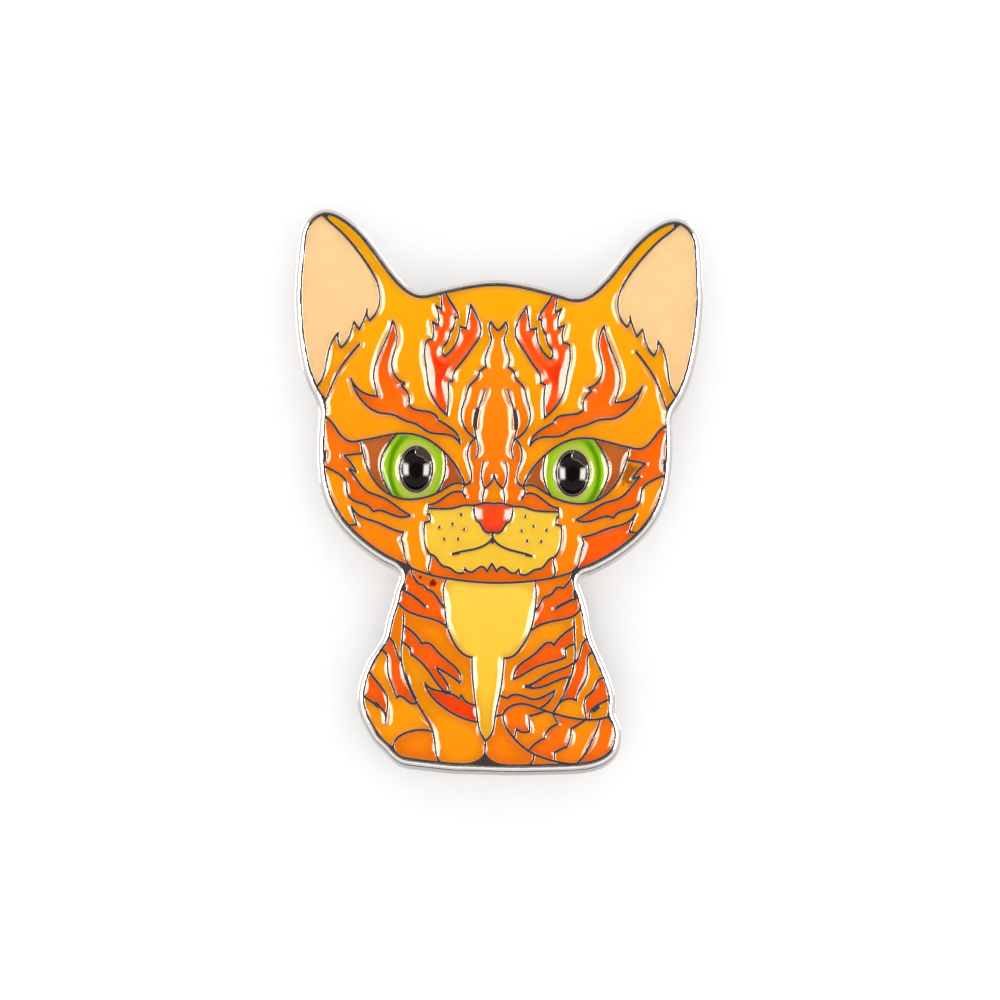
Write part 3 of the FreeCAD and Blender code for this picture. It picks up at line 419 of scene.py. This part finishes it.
# ---------------------------------------------------------------- material helpers
class Nodes:
    """A node tree with short calls to add and join nodes."""

    def __init__(self, tree):
        self.tree = tree

    def add(self, kind, **settings):
        node = self.tree.nodes.new(kind)
        for key, value in settings.items():
            setattr(node, key, value)
        return node

    def feed(self, socket, value):
        if isinstance(value, bpy.types.NodeSocket):
            self.tree.links.new(value, socket)
        else:
            socket.default_value = value

    def noise(self, scale, detail=2.0, roughness=0.5, place=None):
        node = self.add("ShaderNodeTexNoise")
        self.feed(node.inputs["Vector"], place or self.place)
        self.feed(node.inputs["Scale"], scale)
        self.feed(node.inputs["Detail"], detail)
        self.feed(node.inputs["Roughness"], roughness)
        return node.outputs["Fac"]

    def ramp(self, value, low, high, out_low=0.0, out_high=1.0, smooth=True):
        node = self.add("ShaderNodeMapRange")
        if smooth:
            node.interpolation_type = "SMOOTHSTEP"
        for name, item in (("Value", value), ("From Min", low), ("From Max", high),
                           ("To Min", out_low), ("To Max", out_high)):
            self.feed(node.inputs[name], item)
        return node.outputs["Result"]

    def math(self, operation, first, second=0.0):
        node = self.add("ShaderNodeMath", operation=operation)
        self.feed(node.inputs[0], first)
        self.feed(node.inputs[1], second)
        return node.outputs[0]

    def mix(self, share, first, second, blend="MIX"):
        node = self.add("ShaderNodeMix", data_type="RGBA", blend_type=blend)
        self.feed(node.inputs[0], share)
        self.feed(node.inputs[6], first)
        self.feed(node.inputs[7], second)
        return node.outputs[2]

    def axis(self, name):
        node = self.add("ShaderNodeSeparateXYZ")
        self.feed(node.inputs[0], self.place)
        return node.outputs[name]

    def bump(self, height, strength, distance, normal=None):
        node = self.add("ShaderNodeBump")
        self.feed(node.inputs["Height"], height)
        self.feed(node.inputs["Strength"], strength)
        self.feed(node.inputs["Distance"], distance)
        if normal is not None:
            self.feed(node.inputs["Normal"], normal)
        return node.outputs["Normal"]


def new_material(name):
    """An empty material's nodes, with its shader and its coordinates at hand."""
    material = bpy.data.materials.new(name)
    material.use_nodes = True
    made = Nodes(material.node_tree)
    made.material = material
    made.surface = made.tree.nodes["Principled BSDF"]
    made.place = made.add("ShaderNodeTexCoord").outputs["Object"]
    return made


def rgba(colour):
    return (*colour, 1.0)


# Share of the light that gets through the glossy surface to the colour below and back.
THROUGH_GLOSS = 0.9


def paint(red, green, blue):
    """A surface colour that the tent light shows as this screen colour."""
    tones = []
    for value in (red, green, blue):
        share = value / 255
        tones.append(share / 12.92 if share <= 0.04045 else ((share + 0.055) / 1.055) ** 2.4)
    return rgba([min(1.0, tone / (TENT_TONE[0] * THROUGH_GLOSS)) for tone in tones])


# ---------------------------------------------------------------- enamel materials
# Screen colours of each fill: at its top, at its bottom, and where the enamel is deepest (None: the same).
# A name without left or right stands for both.
FILL_COLOURS = {
    "inner_ear": ((255, 213, 152), (255, 208, 146), None),
    "crown": ((255, 186, 0), (255, 150, 0), None),
    "forehead": ((255, 150, 4), (254, 116, 0), None),
    "nose_bridge": ((255, 152, 0), (255, 148, 0), None),
    "nose": ((255, 84, 24), (252, 58, 6), None),
    "muzzle": ((254, 206, 64), (252, 200, 54), None),
    "chin": ((254, 120, 0), (252, 112, 0), None),
    "bib": ((255, 212, 74), (254, 194, 40), None),
    "neck": ((253, 124, 0), (254, 140, 2), None),
    "tail_coat": ((255, 154, 0), (254, 126, 0), None),
    "tail_stripes": ((255, 124, 0), (254, 108, 0), (253, 92, 0)),
    "crown_flame": ((255, 96, 10), (255, 90, 8), (253, 44, 0)),
    "temple_stripe": ((255, 92, 0), (254, 118, 2), (254, 86, 0)),
    "left_upper_cheek_stripe": ((255, 122, 0), (254, 116, 0), None),
    "right_upper_cheek_stripe": ((255, 106, 0), (254, 106, 0), (253, 96, 0)),
    "left_cheek": ((255, 156, 0), (254, 146, 0), None),
    "right_cheek": ((255, 158, 0), (254, 130, 0), None),
    "left_lower_cheek_stripe": ((255, 140, 0), (254, 130, 0), None),
    "right_lower_cheek_stripe": ((255, 104, 0), (254, 86, 0), None),
    "left_shoulder_stripe": ((254, 104, 0), (254, 98, 0), (250, 84, 0)),
    "right_shoulder_stripe": ((254, 110, 2), (254, 98, 0), (254, 88, 0)),
    "left_foreleg": ((254, 136, 0), (254, 152, 0), None),
    "right_foreleg": ((254, 158, 0), (250, 136, 8), None),
    "upper_leg_stripe": ((254, 104, 0), (254, 92, 0), (254, 84, 0)),
    "left_lower_leg_stripe": ((254, 80, 0), (254, 62, 0), None),
    "right_lower_leg_stripe": ((254, 126, 10), (254, 120, 6), None),
    "middle_leg_stripe": ((254, 122, 0), (254, 114, 0), None),
    "left_front_paw": ((254, 162, 0), (254, 148, 0), None),
    "right_front_paw": ((254, 136, 0), (254, 128, 0), None),
    "hind_paw": ((254, 138, 0), (254, 130, 0), None),
    "haunch": ((254, 160, 0), (254, 154, 0), None),
    "flank_stripe": ((254, 108, 14), (254, 90, 6), (254, 76, 2)),
    "haunch_stripe": ((254, 104, 6), (254, 90, 2), (254, 80, 0)),
    "eye_corners": ((198, 104, 40), (186, 94, 34), (168, 82, 28)),
    "pupil": ((8, 5, 4), (6, 4, 3), None),
}


def entry(table, fill, default=None):
    """A fill's entry in a table whose names may leave out left and right."""
    return table.get(fill, table.get(fill.replace("left_", "").replace("right_", ""), default))


# Painted shade: the enamel darkens and browns where it climbs up the side of a line.
WALL_SHADE_TINT = (0.62, 0.4, 0.3, 1.0)


def enamel_finish(made, colour, coat=0.15):
    """Glossy cured enamel over a colour: pigment clouds, painted shade along the foot of each line, a slow
    ripple and a fine grain.
    """
    clouds = made.noise(620, 3.0, 0.6)
    shade = made.ramp(clouds, 0.3, 0.75, 0.95, 1.02)
    grey = made.add("ShaderNodeCombineColor")
    for channel in range(3):
        made.feed(grey.inputs[channel], shade)
    colour = made.mix(1.0, colour, grey.outputs[0], "MULTIPLY")
    # Painted shade: darker and browner where the enamel surface has climbed high against a raised line.
    rise = made.math("SUBTRACT", FILL_LEVEL, made.axis("Y"))
    wall_shade = made.ramp(rise, 0.5 * EDGE_CLIMB, EDGE_CLIMB, 0.0, 0.45)
    colour = made.mix(wall_shade, colour, WALL_SHADE_TINT, "MULTIPLY")
    made.feed(made.surface.inputs["Base Color"], colour)
    roughness = made.ramp(made.noise(2600, 2.0), 0.3, 0.8, 0.06, 0.13)
    made.feed(made.surface.inputs["Roughness"], roughness)
    made.feed(made.surface.inputs["IOR"], 1.54)
    made.feed(made.surface.inputs["Coat Weight"], coat)
    made.feed(made.surface.inputs["Coat Roughness"], 0.03)
    ripple = made.bump(made.noise(1100, 2.0), 0.12, 0.02 * MM)
    made.feed(made.surface.inputs["Normal"], made.bump(made.noise(9000, 1.0), 0.05, 0.004 * MM, ripple))


def smudge(made, colour, centre, radii, tone):
    """A stain with a ragged edge round a point (x, z) of the front."""
    x = made.math("DIVIDE", made.math("SUBTRACT", made.axis("X"), centre[0]), radii[0])
    z = made.math("DIVIDE", made.math("SUBTRACT", made.axis("Z"), centre[1]), radii[1])
    away = made.math("SQRT", made.math("ADD", made.math("MULTIPLY", x, x), made.math("MULTIPLY", z, z)))
    ragged = made.math("ADD", away, made.ramp(made.noise(2400, 3.0, 0.6), 0.3, 0.7, -0.35, 0.35))
    return made.mix(made.ramp(ragged, 1.0, 0.35), colour, tone)


def stained(made, fill, colour):
    """The few stains that the hand-filled enamel shows beside the right eye and on the left of the neck."""
    if fill == "right_cheek":
        low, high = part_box("enamel_right_eye_corners")
        colour = smudge(made, colour, (high.x, 0.7 * high.z + 0.3 * low.z - 1.0 * MM), (0.8 * MM, 1.1 * MM),
                        paint(176, 96, 14))
    if fill == "neck":
        low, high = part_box("enamel_neck")
        colour = smudge(made, colour, (low.x + 1.4 * MM, high.z - 0.85 * MM), (0.34 * MM, 0.3 * MM),
                        paint(150, 26, 4))
        colour = smudge(made, colour, (low.x + 0.5 * MM, high.z - 0.5 * MM), (0.18 * MM, 0.16 * MM),
                        paint(170, 34, 4))
    return colour


def plain_enamel(fill):
    """One fill's enamel, from its top colour to its bottom colour, with its deep colour in the middle."""
    upper, lower, deep = entry(FILL_COLOURS, fill)
    low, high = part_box(f"enamel_{fill}")
    made = new_material(fill)
    height = made.ramp(made.axis("Z"), low.z, high.z, smooth=False)
    colour = made.mix(height, paint(*lower), paint(*upper))
    if deep:
        depth = made.ramp(made.axis("Y"), FILL_LEVEL - 0.10 * MM, FILL_LEVEL - 0.01 * MM)
        patches = made.ramp(made.noise(700, 2.0, 0.5), 0.35, 0.6, 0.45, 1.0)
        colour = made.mix(made.math("MULTIPLY", depth, patches), colour, paint(*deep))
    enamel_finish(made, stained(made, fill, colour), coat=0.3 if "pupil" in fill else 0.15)
    return made.material


def iris_enamel(fill):
    """Bright green, with a painted highlight glow towards the pupil and a painted dark reflection: a soft
    dark crescent on the outer side of the eye.
    """
    low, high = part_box(f"enamel_{fill}".replace("iris", "pupil"))
    middle = (low + high) / 2
    half = (high - low) / 2
    outward = 1 if middle.x > 0 else -1
    made = new_material(fill)
    x = made.math("DIVIDE", made.math("SUBTRACT", made.axis("X"), middle.x), half.x)
    z = made.math("DIVIDE", made.math("SUBTRACT", made.axis("Z"), middle.z), half.z)
    away = made.math("SQRT", made.math("ADD", made.math("MULTIPLY", x, x), made.math("MULTIPLY", z, z)))
    outer = made.ramp(made.math("MULTIPLY", x, outward), 0.1, 1.3)
    # Painted dark reflection: a soft dark crescent in a ring on the outer side of the eye.
    ring = made.math("MULTIPLY", made.ramp(away, 1.46, 1.7), made.ramp(away, 1.98, 1.78))
    dark_reflection_crescent = made.math("MULTIPLY", ring, outer)
    # Painted highlight glow: the iris is paler towards the pupil.
    colour = made.mix(made.ramp(away, 1.15, 1.6), paint(196, 214, 96), paint(164, 210, 12))
    colour = made.mix(made.ramp(z, -1.2, -1.7), colour, paint(172, 198, 4))
    colour = made.mix(dark_reflection_crescent, colour, paint(92, 152, 0))
    enamel_finish(made, colour)
    return made.material


# ---------------------------------------------------------------- metal
def polished_nickel(name, tint, roughness, edge_radius, blasted_back=False):
    """Bright nickel plating: rounded edges, polishing haze and hair scratches.

    A blasted back is dull and pebbled where the surface faces away from the front."""
    made = new_material(name)
    haze = made.noise(900, 4.0, 0.6)
    stretched = made.add("ShaderNodeMapping")
    made.feed(stretched.inputs["Vector"], made.place)
    stretched.inputs["Scale"].default_value = (1.0, 1.0, 0.06)
    stretched.inputs["Rotation"].default_value = (0.0, 0.5, 0.0)
    hairs = made.noise(26000, 2.0, 0.7, stretched.outputs["Vector"])
    colour = made.mix(made.ramp(haze, 0.3, 0.8), rgba(tint), rgba([0.93 * c for c in tint]))
    made.feed(made.surface.inputs["Base Color"], colour)
    made.feed(made.surface.inputs["Metallic"], 1.0)
    rough = made.math("ADD", made.ramp(haze, 0.25, 0.85, roughness, roughness * 1.9),
                      made.ramp(hairs, 0.6, 0.8, 0.0, 0.06))
    soft = made.add("ShaderNodeBevel", samples=6)
    soft.inputs["Radius"].default_value = edge_radius
    normal = made.bump(hairs, 0.05, 0.002 * MM, soft.outputs["Normal"])
    if blasted_back:
        facing = made.add("ShaderNodeSeparateXYZ")
        made.feed(facing.inputs[0], made.add("ShaderNodeNewGeometry").outputs["True Normal"])
        back = made.ramp(facing.outputs["Y"], 0.7, 0.9)
        rough = made.math("ADD", rough, made.math("MULTIPLY", back, 0.16))
        pebbles = made.add("ShaderNodeTexVoronoi", feature="SMOOTH_F1")
        made.feed(pebbles.inputs["Vector"], made.place)
        made.feed(pebbles.inputs["Scale"], 3400.0)
        relief = made.math("MULTIPLY", pebbles.outputs["Distance"], back)
        normal = made.bump(relief, 0.35, 0.05 * MM, normal)
    made.feed(made.surface.inputs["Roughness"], rough)
    made.feed(made.surface.inputs["Normal"], made.bump(haze, 0.06, 0.01 * MM, normal))
    return made.material


# ---------------------------------------------------------------- pieces
def give(obj, material):
    obj.data.materials.clear()
    obj.data.materials.append(material)


def build_enamel():
    names = sorted(name for name in nodes if name.startswith("enamel_"))
    for seed, name in enumerate(names):
        fill = name.replace("enamel_", "")
        piece = enamel_fill(name, seed)
        give(piece, iris_enamel(fill) if "iris" in fill else plain_enamel(fill))


def build_metal():
    plate = polished_nickel("plate_nickel", (0.70, 0.655, 0.62), 0.10, 0.045 * MM, blasted_back=True)
    hardware = polished_nickel("hardware_nickel", (0.74, 0.71, 0.67), 0.12, 0.05 * MM)
    for name, node in nodes.items():
        if name.startswith("enamel_"):
            continue
        give(node, plate if name == PLATE else hardware)


# ---------------------------------------------------------------- stage
# Directions in degrees, seen from the pin: azimuth away from the front, elevation above the level.
STRIP_AZIMUTHS = (34, 54)
STRIP_ELEVATIONS = (-6, 26)
STRIP_TONE = (16.0, 15.3, 14.4)
# What a flat, level part of the front mirrors: as far above the level as the camera is below it.
CAMERA_BELOW = 10
DARK_RADIUS = 28
PALE_RADIUS = 56
FRONT_TONE = (0.08, 0.052, 0.042)
BETWEEN_TONE = (0.24, 0.23, 0.23)
SIDE_TONE = (1.4, 1.4, 1.4)
# Behind the pin the tent is pale above and dark below.
HIGH_BACK_TONE = (0.88, 0.88, 0.88)
LOW_BACK_TONE = (0.12, 0.12, 0.13)
# A grey ring round the pin, level with its edge, keeps the bare sides from washing out.
RING_TONE = (0.72, 0.70, 0.69)
RING_SHARE = 0.8
TENT_TONE = (1.25, 1.25, 1.26)
WHITE = (1.0, 1.0, 1.0)
# Half the width, in degrees, over which an edge in the tent fades.
SIDE_SOFTNESS = 4
LEVEL_SOFTNESS = 6

# The camera: lens and sensor in millimetres, the height of the picture at the pin, the camera's roll in
# degrees, and where the middle of the picture lies, right of and below the frame's origin.
LENS = 500
SENSOR = 36
FIELD = 68.6 * MM
ROLL = 1.5
AIM_RIGHT = 0.41 * MM
AIM_BELOW = 0.96 * MM

# How far the table lies behind the back of the plate, and half its width.
TABLE_LEVEL = 2.3 * MM
TABLE_HALF = 400 * MM
LAMP_DISTANCE = 300 * MM


def camera():
    """A long lens a little below the face, with the pin turned slightly clockwise in the picture."""
    below = math.radians(CAMERA_BELOW)
    roll = math.radians(ROLL)
    data = bpy.data.cameras.new("camera")
    data.lens = LENS
    data.sensor_width = SENSOR
    view = bpy.data.objects.new("camera", data)
    bpy.context.scene.collection.objects.link(view)
    distance = FIELD * LENS / SENSOR
    back = Vector((0, -math.cos(below), -math.sin(below)))
    turn = back.to_track_quat("Z", "Y").to_matrix()
    right, up = turn.col[0], turn.col[1]
    rolled_right = right * math.cos(roll) + up * math.sin(roll)
    rolled_up = up * math.cos(roll) - right * math.sin(roll)
    aim = Vector((0, LINE_TOP, 0)) + rolled_right * AIM_RIGHT - rolled_up * AIM_BELOW
    axes = Matrix((rolled_right, rolled_up, back)).transposed()
    view.matrix_world = Matrix.Translation(aim + back * distance) @ axes.to_4x4()
    data.clip_start = 1 * MM
    data.clip_end = 5
    bpy.context.scene.camera = view


def softbox(name, azimuth, elevation, width, height, power):
    """A rectangular lamp aimed at the pin; azimuth 0 is in front, 90 to the right. Sizes are in metres."""
    data = bpy.data.lights.new(name, "AREA")
    data.shape = "RECTANGLE"
    data.size = width
    data.size_y = height
    data.energy = power
    lamp = bpy.data.objects.new(name, data)
    bpy.context.scene.collection.objects.link(lamp)
    a, e = math.radians(azimuth), math.radians(elevation)
    toward = Vector((math.sin(a) * math.cos(e), -math.cos(a) * math.cos(e), math.sin(e)))
    lamp.location = toward * LAMP_DISTANCE
    lamp.rotation_euler = toward.to_track_quat("Z", "Y").to_euler()
    lamp.visible_camera = False


def world():
    """A white light tent. Only reflections see its dark front, where the camera stands, and its two bright
    strips, left and right of the camera."""
    tent = bpy.data.worlds.new("tent")
    bpy.context.scene.world = tent
    tent.use_nodes = True
    made = Nodes(tent.node_tree)
    made.tree.nodes.clear()
    made.place = made.add("ShaderNodeTexCoord").outputs["Generated"]
    x, y, z = [made.axis(name) for name in "XYZ"]
    azimuth = made.math("ARCTAN2", made.math("ABSOLUTE", x), made.math("MULTIPLY", y, -1.0))
    elevation = made.math("ARCSINE", z)

    def between(value, low, high, soft):
        rise = made.ramp(value, math.radians(low - soft), math.radians(low + soft))
        fall = made.ramp(value, math.radians(high + soft), math.radians(high - soft))
        return made.math("MULTIPLY", rise, fall)

    mirrored = math.radians(CAMERA_BELOW)
    toward = made.math("ADD", made.math("MULTIPLY", y, -math.cos(mirrored)),
                       made.math("MULTIPLY", z, math.sin(mirrored)))
    away = made.math("ARCCOSINE", toward)
    dark_edge = made.ramp(away, math.radians(DARK_RADIUS - LEVEL_SOFTNESS),
                          math.radians(DARK_RADIUS + LEVEL_SOFTNESS))
    pale_edge = made.ramp(away, math.radians(PALE_RADIUS - LEVEL_SOFTNESS),
                          math.radians(PALE_RADIUS + LEVEL_SOFTNESS))
    tone = made.mix(dark_edge, rgba(FRONT_TONE), rgba(BETWEEN_TONE))
    tone = made.mix(pale_edge, tone, rgba(SIDE_TONE))
    back_tone = made.mix(made.ramp(z, -0.9, 0.3), rgba(LOW_BACK_TONE), rgba(HIGH_BACK_TONE))
    tone = made.mix(made.ramp(y, 0.15, 0.6), tone, back_tone)
    ring = made.ramp(made.math("ABSOLUTE", y), 0.3, 0.12, 0.0, RING_SHARE)
    tone = made.mix(ring, tone, rgba(RING_TONE))
    strip = made.math("MULTIPLY", between(azimuth, *STRIP_AZIMUTHS, SIDE_SOFTNESS),
                      between(elevation, *STRIP_ELEVATIONS, LEVEL_SOFTNESS))
    tone = made.mix(strip, tone, rgba(STRIP_TONE))
    path = made.add("ShaderNodeLightPath")
    lit = made.mix(path.outputs["Is Glossy Ray"], rgba(TENT_TONE), tone)
    seen = made.mix(path.outputs["Is Camera Ray"], lit, rgba(WHITE))
    background = made.add("ShaderNodeBackground")
    made.feed(background.inputs["Color"], seen)
    out = made.add("ShaderNodeOutputWorld")
    made.feed(out.inputs["Surface"], background.outputs[0])


def table_top():
    """The white surface the pin lies on, seen only from the front; it lets light through from behind."""
    mesh = bpy.data.meshes.new("table_top")
    corners = [(x * TABLE_HALF, TABLE_LEVEL, z * TABLE_HALF) for x, z in ((-1, -1), (1, -1), (1, 1), (-1, 1))]
    mesh.from_pydata(corners, [], [(0, 1, 2, 3)])
    table = bpy.data.objects.new("table_top", mesh)
    bpy.context.scene.collection.objects.link(table)
    made = new_material("white_paper")
    fibres = made.noise(1500, 5.0, 0.6)
    white = made.mix(fibres, rgba((0.855, 0.855, 0.856)), rgba((0.88, 0.88, 0.876)))
    made.feed(made.surface.inputs["Base Color"], white)
    made.feed(made.surface.inputs["Roughness"], 0.9)
    made.feed(made.surface.inputs["Normal"], made.bump(fibres, 0.2, 0.02 * MM))
    clear = made.add("ShaderNodeBsdfTransparent")
    path = made.add("ShaderNodeLightPath")
    behind = made.add("ShaderNodeNewGeometry").outputs["Backfacing"]
    passing = made.math("MAXIMUM", path.outputs["Is Shadow Ray"], path.outputs["Is Glossy Ray"])
    passing = made.math("MAXIMUM", passing, behind)
    both = made.add("ShaderNodeMixShader")
    made.feed(both.inputs[0], passing)
    made.feed(both.inputs[1], made.surface.outputs[0])
    made.feed(both.inputs[2], clear.outputs[0])
    out = made.tree.nodes["Material Output"]
    made.feed(out.inputs["Surface"], both.outputs[0])
    give(table, made.material)


def lights():
    softbox("rear_left_softbox", azimuth=215, elevation=20, width=0.12, height=0.16, power=0.5)
    softbox("rear_right_softbox", azimuth=140, elevation=30, width=0.10, height=0.16, power=0.4)


build_enamel()
build_metal()
table_top()
lights()
world()
camera()
bpy.context.scene.view_settings.view_transform = "Standard"
